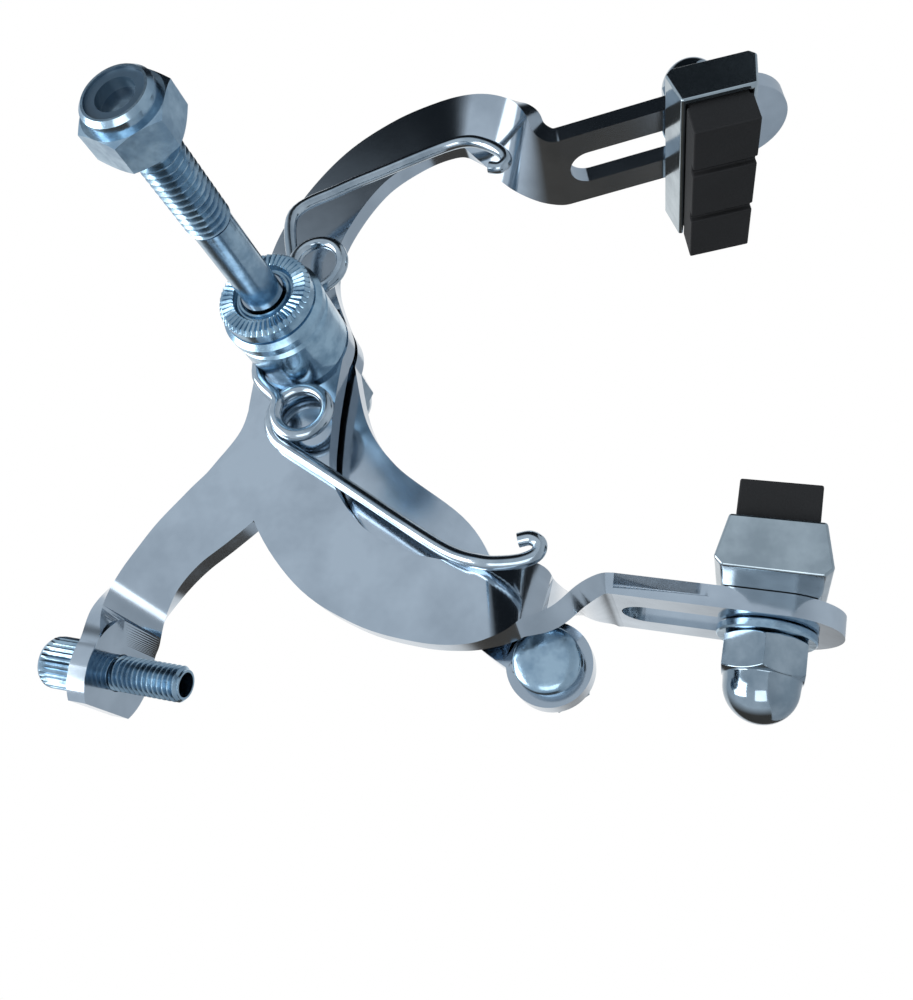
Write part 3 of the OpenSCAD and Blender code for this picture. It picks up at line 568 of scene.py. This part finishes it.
class BRAKE_OT_finishes(bpy.types.Operator):
    """Makes the finishes and gives every CAD piece its own"""

    bl_idname = "brake.finishes"
    bl_label = "Finishes"

    def execute(self, context):
        colours = context.scene.brake_finishes
        FINISHES.update(
            # bright nickel and chrome plating: a near mirror with a faint orange peel
            chrome=plating("Bright chrome plating on pressed steel", colours.chrome, "#a9b5c0",
                           0.1, 0.08, 9.0, stain_mm=14.0, haze=0.04),
            # blue-passivated zinc on small turned and pressed parts
            zinc=plating("Bright blue zinc plating", colours.zinc, "#86a1b6", 0.16, 0.2, 1.6,
                         stain_mm=3.5, haze=0.1),
            turned=plating("Turned zinc-plated steel", "#a6c3d6", "#7b9ab1", 0.14, 0.18, 1.8,
                           stain_mm=4.0, haze=0.1),
            wire=plating("Plated spring wire", "#b9c6d0", "#97a6b2", 0.13, 0.1, 3.0, haze=0.05),
            sheet=plating("Plated sheet of the shoe holders", "#b4c1c8", "#98a5ad", 0.12, 0.12, 5.0,
                          stain_mm=8.0, haze=0.06),
            # chromed nuts, a shade darker than the zinc
            nut=plating("Chromed domed nuts", "#a3b2bd", "#8495a2", 0.08, 0.08, 5.0, haze=0.05),
            rubber=moulded("Moulded brake rubber", colours.rubber, "#141517", 0.78, 0.35, 0.2),
            nylon=moulded("Moulded nylon locking ring", "#2f4353", "#435b6e", 0.35, 0.5, 0.1),
        )
        wears = {
            "chrome": ["cable_arm", "curved_arm"],
            "zinc": ["centre_bolt", "frame_nut", "adjusting_nut", "pivot_cap_nut",
                     "barrel_adjuster", "anchor_bolt", "anchor_washer", "anchor_nut",
                     "near_stud", "near_washer", "near_nut", "far_stud", "far_washer",
                     "far_nut", "pivot_washer", "front_washer", "adjuster_ring"],
            "turned": ["toothed_washer", "spacer_washer", "spring_block"],
            "wire": ["return_spring"],
            "sheet": ["near_holder", "far_holder"],
            "rubber": ["near_rubber", "far_rubber"],
            "nylon": ["frame_nut_insert"],
        }
        for finish, nodes in wears.items():
            for node in nodes:
                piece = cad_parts[node]
                piece.data.materials.clear()
                piece.data.materials.append(FINISHES[finish])
        return {"FINISHED"}


class BRAKE_OT_arms(bpy.types.Operator):
    """Builds both pressed arms with smooth twists and rounded edges"""

    bl_idname = "brake.arms"
    bl_label = "Arms"

    def slotted(self, arm, top, side, others, holes):
        """The joined arm with its pivot hole, slot and other holes cut."""
        plate = block((PLATE_MID - ARM_T / 2, PLATE_Y - PLATE_W / 2, -PLATE_LOW),
                      (PLATE_MID + ARM_T / 2, PLATE_Y + PLATE_W / 2, -top + PLATE_LAP))
        end = rod(PLATE_W / 2, -ARM_T / 2, ARM_T / 2, (1, 0, 0), (PLATE_MID, PLATE_Y, -PLATE_LOW))
        for bm in (plate, end):
            bmesh.ops.scale(bm, verts=bm.verts, vec=(side, 1, 1))
            bmesh.ops.recalc_face_normals(bm, faces=bm.faces)
        whole = combined(arm, [plate, end] + others, "UNION")
        low, high = -PLATE_LOW, -top - SLOT_W / 2
        middle = PLATE_MID * side
        cuts = [block((middle - CUT, PLATE_Y - SLOT_W / 2, low),
                      (middle + CUT, PLATE_Y + SLOT_W / 2, high))]
        cuts += [rod(SLOT_W / 2, -CUT, CUT, (1, 0, 0), (middle, PLATE_Y, z), 48)
                 for z in (low, high)]
        cut = combined(whole, [combined(cuts[0], cuts[1:], "UNION")] + holes, "DIFFERENCE")
        bmesh.ops.remove_doubles(cut, verts=cut.verts, dist=2e-6)
        bmesh.ops.dissolve_degenerate(cut, dist=1e-5, edges=cut.edges)
        bmesh.ops.triangulate(cut, faces=[f for f in cut.faces if len(f.verts) > 4])
        return cut

    def execute(self, context):
        settings = context.scene.brake_arms
        mid = NEAR_Y - ARM_T / 2
        boss = rod(BOSS_D / 2, mid - ARM_T / 2, mid + ARM_T / 2, (0, 1, 0), (0, 0, 0), 96)
        tab = combined(
            rod(PLATE_W / 2, TAB_Z - ARM_T / 2, TAB_Z + ARM_T / 2, (0, 0, 1), (TAB_X, TAB_Y, 0), 96),
            [block((TAB_X - 20, TAB_Y - 20, 0), (TAB_X + TAB_REACH, TAB_Y + 20, 30))], "INTERSECT")
        near = self.slotted(
            boss, settings.near_slot, 1,
            [limb(NEAR_LIMB, mid, (1, 0), (0, -1)), limb(CABLE_LIMB, mid, (1, 0), (1, 0)), tab],
            [rod(PIVOT_HOLE_R, -30, 0, (0, 1, 0), (0, 0, 0)),
             rod(STEM_HOLE_R, 0, 30, (0, 0, 1), (TAB_X, TAB_Y, 0)),
             rod(SPOT_R, TAB_Z + ARM_T / 2, SPOT_TOP, (0, 0, 1), (TAB_X, TAB_Y, 0))])
        show("cable_arm_pressing", near, "chrome", "cable_side_arm", ["cable_arm"],
             bevel=settings.edge, turn=upright(1))

        mid = FAR_Y - ARM_T / 2
        boss = rod(BOSS_D / 2, mid - ARM_T / 2, mid + ARM_T / 2, (0, 1, 0), (0, 0, 0), 96)
        shoe_limb = limb(FAR_LIMB, mid, (1, 0), (0, -1))
        bmesh.ops.scale(shoe_limb, verts=shoe_limb.verts, vec=(-1, 1, 1))
        bmesh.ops.recalc_face_normals(shoe_limb, faces=shoe_limb.faces)
        pad = rod(ANCHOR_PAD_R, mid - ARM_T / 2, mid + ARM_T / 2, (0, 1, 0), (ANCHOR_X, 0, ANCHOR_Z))
        far = self.slotted(
            boss, settings.far_slot, -1,
            [shoe_limb, limb(ANCHOR_LIMB, mid, (1, 0), (0.8, -0.6)), pad],
            [rod(PIVOT_HOLE_R, -30, 0, (0, 1, 0), (0, 0, 0)),
             rod(ANCHOR_HOLE_R, -30, 0, (0, 1, 0), (ANCHOR_X, 0, ANCHOR_Z))])
        show("curved_arm_pressing", far, "chrome", "far_side_arm", ["curved_arm"],
             bevel=settings.edge, turn=upright(-1))
        return {"FINISHED"}


class BRAKE_OT_spring(bpy.types.Operator):
    """Builds the return spring in two halves, one for each side"""

    bl_idname = "brake.spring"
    bl_label = "Return spring"

    def wire(self, side, turn, leg):
        """One half's centre line: out of the block, once round the coil and down the leg."""
        path = curve([(0, CROSS_Y, CROSS_Z), (side * 6.5, CROSS_Y, CROSS_Z),
                      (side * (COIL_X - COIL_R * 0.6), CROSS_Y, COIL_R * 1.05 - COIL_DROP),
                      (side * COIL_X, CROSS_Y, COIL_R - COIL_DROP)], 6)
        drop = CROSS_Y - LEG_Y
        for angle in range(10, 360 + turn - 9, 10):
            share = min(max((angle - 225) / 150, 0), 1)
            radius = COIL_R + WRAP_OUT * share * share * (3 - 2 * share)
            path.append(Vector((side * (COIL_X + radius * sin(radians(angle))),
                                CROSS_Y - drop * angle / (360 + turn),
                                radius * cos(radians(angle)) - COIL_DROP)))
        wide = COIL_R + WRAP_OUT
        start = (side * (COIL_X + wide * sin(radians(turn))), LEG_Y,
                 wide * cos(radians(turn)) - COIL_DROP)
        return path + curve([start] + list(leg), 8)

    def execute(self, context):
        for side, turn, leg, body in ((1, 50, NEAR_LEG, "cable_side_arm"),
                                      (-1, 20, FAR_LEG, "far_side_arm")):
            path = self.wire(side, turn, leg)
            rings = []
            for i, point in enumerate(path):
                along = heading(path, i, 3)
                first = Vector((0, 1, 0)).cross(along).normalized()
                second = along.cross(first)
                rings.append([MM * (point + WIRE_R * (first * cos(a) + second * sin(a)))
                              for a in (k * pi / 8 for k in range(16))])
            piece = show("return_spring_%s" % ("right" if side == 1 else "left"), sweep(rings),
                         "wire", None, ["return_spring"] if side == 1 else ())
            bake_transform(piece)
        return {"FINISHED"}


class BRAKE_OT_shoes(bpy.types.Operator):
    """Builds the folded holders, the rubber pads, the domed nuts and the anchor bolt"""

    bl_idname = "brake.shoes"
    bl_label = "Shoes and nuts"

    def holder(self):
        """A pressed channel with leaning walls and a folded end."""
        half = HOLDER_LEN / 2
        inside = prism(HOLDER_INSIDE, -half - 1, half - HOLDER_T)
        return combined(prism(HOLDER_OUTSIDE, -half, half), [inside], "DIFFERENCE")

    def rubber(self):
        """A block of rubber with shallow grooves across its braking face."""
        body = prism(RUBBER_SECTION, -HOLDER_LEN / 2 + END_ROOM,
                     HOLDER_LEN / 2 - HOLDER_T - END_ROOM)
        grooves = [block((-9, y - GROOVE_HALF, GROOVE_FLOOR), (9, y + GROOVE_HALF, 15))
                   for y in (-GROOVE_AT, GROOVE_AT)]
        return combined(body, grooves, "DIFFERENCE")

    def execute(self, context):
        for side, word in ((1, "near"), (-1, "far")):
            body = word + "_shoe"
            place = on_shoe(side)
            show(word + "_holder_folded", self.holder(), "sheet", body,
                 [word + "_holder"], bevel=0.45, segments=4, turn=place)
            show(word + "_rubber_pad", self.rubber(), "rubber", body,
                 [word + "_rubber"], bevel=0.4, turn=place)
            out = place @ Matrix.Translation((0, 0, -NUT_BACK * MM)) @ Matrix.Rotation(pi, 4, "X")
            show(word + "_nut_domed", domed_nut(), "nut", body,
                 [word + "_nut"], bevel=0.2, turn=out)
        front = Matrix.Translation((0, CAP_NUT_Y * MM, 0)) @ Matrix.Rotation(pi / 2, 4, "X")
        show("pivot_cap_nut_domed", domed_nut(), "nut", "centre", ["pivot_cap_nut"],
             bevel=0.2, turn=front)

        # The anchor bolt stands parallel to the centre bolt, its cable hole upright
        hole = rod(CABLE_HOLE_R, -6, 6, (1, 0, 0), (0, 0, CABLE_HOLE_UP), 32)
        drilled = combined(lathe(ANCHOR_PROFILE), [hole], "DIFFERENCE")
        anchor = upright(-1) @ Matrix.Translation((ANCHOR_X * MM, 0, ANCHOR_Z * MM)) @ upright(1)
        lie = Matrix.Translation((0, ANCHOR_BOLT_Y * MM, 0)) @ Matrix.Rotation(-pi / 2, 4, "X")
        show("anchor_bolt_drilled", drilled, "zinc", "far_side_arm", ["anchor_bolt"],
             turn=anchor @ lie @ Matrix.Rotation(pi / 2, 4, "Z"))
        return {"FINISHED"}


class BRAKE_OT_threads(bpy.types.Operator):
    """Builds the threaded centre bolt, the toothed washer and the fluted adjuster"""

    bl_idname = "brake.threads"
    bl_label = "Threads, teeth and flutes"

    def along_y(self, y):
        """From a piece drawn along Z to one along Y that starts at y millimetres."""
        return Matrix.Translation((0, y * MM, 0)) @ Matrix.Rotation(-pi / 2, 4, "X")

    def execute(self, context):
        settings = context.scene.brake_threads
        low, high = (corner[1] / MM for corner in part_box("centre_bolt"))
        shank = lathe([(0, 0), (BOLT_R - 0.7, 0), (BOLT_R, 0.7), (BOLT_R, JOURNAL_END - low),
                       (SHANK_R, SHANK_START - low), (SHANK_R, THREAD_START - low),
                       (0, THREAD_START - low)])
        tip = thread(BOLT_R, settings.bolt_pitch, THREAD_START - 0.2 - low, high - low)
        show("centre_bolt_threaded", merged(shank, tip), "zinc", "centre",
             ["centre_bolt"], turn=self.along_y(low))

        # The seat washer: a lathe whose rear edge is cut into teeth
        count = settings.teeth
        washer = ring(SEAT_PROFILE, steps=count * 6)
        for vert in washer.verts:
            flat = hypot(vert.co.x, vert.co.y)
            if vert.co.z > 2.3 * MM and flat > 4.55 * MM:
                share = (atan2(vert.co.y, vert.co.x) * count / (2 * pi)) % 1
                vert.co.z -= TOOTH_DEPTH * MM * (1 - abs(2 * share - 1) ** 0.8)
        show("seat_washer_toothed", washer, "turned", "centre", ["toothed_washer"],
             turn=self.along_y(SEAT_Y), angle=28)

        # The barrel adjuster: fluted head on a hollow threaded stem
        place = upright(1) @ Matrix.Translation((TAB_X * MM, TAB_Y * MM, 0))
        flutes = settings.flutes
        knob = ring([(r, HEAD_Z + up) for r, up in HEAD_PROFILE], steps=flutes * 6)
        for vert in knob.verts:
            flat = hypot(vert.co.x, vert.co.y)
            if flat > 3.5 * MM and HEAD_Z + 0.9 < vert.co.z / MM < HEAD_Z + 5.7:
                share = (atan2(vert.co.y, vert.co.x) * flutes / (2 * pi)) % 1
                depth = FLUTE_DEPTH * MM * (1 - abs(2 * share - 1)) ** 0.7
                vert.co.x *= 1 - depth / flat
                vert.co.y *= 1 - depth / flat
        bores = [rod(STEM_BORE_R, 3, 12, (0, 0, 1), (0, 0, 0), 48),
                 rod(CABLE_BORE_R, 2, 30, (0, 0, 1), (0, 0, 0), 48)]
        stem = combined(thread(STEM_R, settings.stem_pitch, STEM_Z, HEAD_Z + 0.4), bores,
                        "DIFFERENCE")
        show("barrel_adjuster_fluted", merged(knob, stem), "zinc", "adjuster",
             ["barrel_adjuster"], turn=place, angle=28)
        return {"FINISHED"}


class BRAKE_OT_stage(bpy.types.Operator):
    """Adds the floor, the room's light, the lamps and the camera"""

    bl_idname = "brake.stage"
    bl_label = "Stage"

    def execute(self, context):
        settings = context.scene.brake_stage
        low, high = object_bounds()
        bm = bmesh.new()
        bmesh.ops.create_grid(bm, x_segments=1, y_segments=1, size=3.0)
        bmesh.ops.translate(bm, verts=bm.verts, vec=(0, 0, low[2] - settings.floor_drop))
        mesh = bpy.data.meshes.new("floor")
        bm.to_mesh(mesh)
        bm.free()
        floor = bpy.data.objects.new("floor", mesh)
        context.collection.objects.link(floor)
        material, tree, output = new_material("Pale studio floor")
        paint = add(tree, "ShaderNodeBsdfDiffuse", Color=linear("#f0f1f2"))
        tree.links.new(paint.outputs["BSDF"], output.inputs["Surface"])
        mesh.materials.append(material)
        floor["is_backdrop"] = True

        world = bpy.data.worlds.new("Studio")
        context.scene.world = world
        world.use_nodes = True
        tree = world.node_tree
        tree.nodes.clear()
        out = tree.nodes.new("ShaderNodeOutputWorld")
        rays = add(tree, "ShaderNodeLightPath")
        way = add(tree, "ShaderNodeTexCoord")

        def towards(direction, start, end):
            """How much a ray points in a direction, from 0 at start to 1 at end."""
            unit = Vector(direction).normalized()
            dot = add(tree, "ShaderNodeVectorMath", [(0, way, "Generated")], operation="DOT_PRODUCT")
            dot.inputs[1].default_value = unit
            return add(tree, "ShaderNodeMapRange", [("Value", dot, "Value")],
                       From_Min=start, From_Max=end, To_Min=0.0, To_Max=1.0)

        def blended(under, cover, share, output="Result"):
            """One light laid over another by a share."""
            return add(tree, "ShaderNodeMixShader",
                       [(0, share, output), (1, under, under.outputs[0].name),
                        (2, cover, cover.outputs[0].name)])

        # The room: pale all round, dark at the side and behind the shoes, white behind the brake
        pale = add(tree, "ShaderNodeBackground", Color=linear("#d5dde5"), Strength=1.0)
        dark = add(tree, "ShaderNodeBackground", Color=linear("#1c2024"), Strength=1.0)
        brown = add(tree, "ShaderNodeBackground", Color=linear("#55504b"), Strength=1.0)
        white = add(tree, "ShaderNodeBackground", Color=(1, 1, 1, 1), Strength=1.0)
        room = blended(pale, dark, towards((-1, 0.35, 0), 0.72, 0.86))
        room = blended(room, brown, towards((0.5, -0.86, -0.05), 0.35, 0.75))
        behind = towards((-0.39, -0.89, 0.25), 0.7, 0.8)
        mirror = add(tree, "ShaderNodeMath", [(0, rays, "Is Glossy Ray"),
                                              (1, rays, "Is Transmission Ray")], operation="MAXIMUM")
        shown = add(tree, "ShaderNodeMath", [(0, mirror, "Value"), (1, behind, "Result")],
                    operation="MULTIPLY")
        seen = add(tree, "ShaderNodeMath", [(0, rays, "Is Camera Ray"), (1, shown, "Value")],
                   operation="MAXIMUM")
        final = blended(room, white, seen, "Value")
        tree.links.new(final.outputs["Shader"], out.inputs["Surface"])

        for name, place, size, power in (
            ("window", (0.15, 0.25, 0.6), 0.5, 4.0),
            ("fill", (0.5, 0.5, 0.0), 0.4, 1.0),
        ):
            lamp = bpy.data.lights.new(name, "AREA")
            lamp.size = size
            lamp.energy = power
            holder = bpy.data.objects.new(name, lamp)
            context.collection.objects.link(holder)
            aim = (Vector((0, 0, -0.02)) - Vector(place)).to_track_quat("-Z", "Y")
            holder.matrix_world = Matrix.Translation(place) @ aim.to_matrix().to_4x4()

        data = bpy.data.cameras.new("camera")
        data.sensor_fit = "VERTICAL"
        data.sensor_height = 36.0
        data.lens = settings.focal
        data.clip_start = 0.005
        camera = bpy.data.objects.new("camera", data)
        context.collection.objects.link(camera)
        right = Vector(CAMERA_RIGHT).normalized()
        ahead = Vector(CAMERA_AHEAD).normalized()
        up = right.cross(ahead).normalized()
        right = ahead.cross(up).normalized()
        turn = Matrix((right, up, -ahead)).transposed().to_4x4()
        camera.matrix_world = Matrix.Translation(CAMERA_AT) @ turn
        context.scene.camera = camera
        context.scene.view_settings.view_transform = "Standard"
        return {"FINISHED"}


class BRAKE_PT_panel(bpy.types.Panel):
    """The brake's pieces, in the sidebar"""

    bl_label = "Brake"
    bl_idname = "BRAKE_PT_panel"
    bl_space_type = "VIEW_3D"
    bl_region_type = "UI"
    bl_category = "Brake"

    def draw(self, context):
        for operator in OPERATORS:
            self.layout.operator(operator.bl_idname)


OPERATORS = (BRAKE_OT_finishes, BRAKE_OT_arms, BRAKE_OT_spring, BRAKE_OT_shoes,
             BRAKE_OT_threads, BRAKE_OT_stage)
GROUPS = {"brake_finishes": BrakeFinishes, "brake_arms": BrakeArms,
          "brake_threads": BrakeThreads, "brake_stage": BrakeStage}
CLASSES = tuple(GROUPS.values()) + OPERATORS + (BRAKE_PT_panel,)


def register():
    for cls in CLASSES:
        bpy.utils.register_class(cls)
    for name, group in GROUPS.items():
        setattr(bpy.types.Scene, name, PointerProperty(type=group))


def unregister():
    for name in GROUPS:
        delattr(bpy.types.Scene, name)
    for cls in reversed(CLASSES):
        bpy.utils.unregister_class(cls)


def main():
    register()
    bpy.ops.brake.finishes()
    bpy.ops.brake.arms()
    bpy.ops.brake.spring()
    bpy.ops.brake.shoes()
    bpy.ops.brake.threads()
    bpy.ops.brake.stage()


if __name__ == "__main__":
    main()
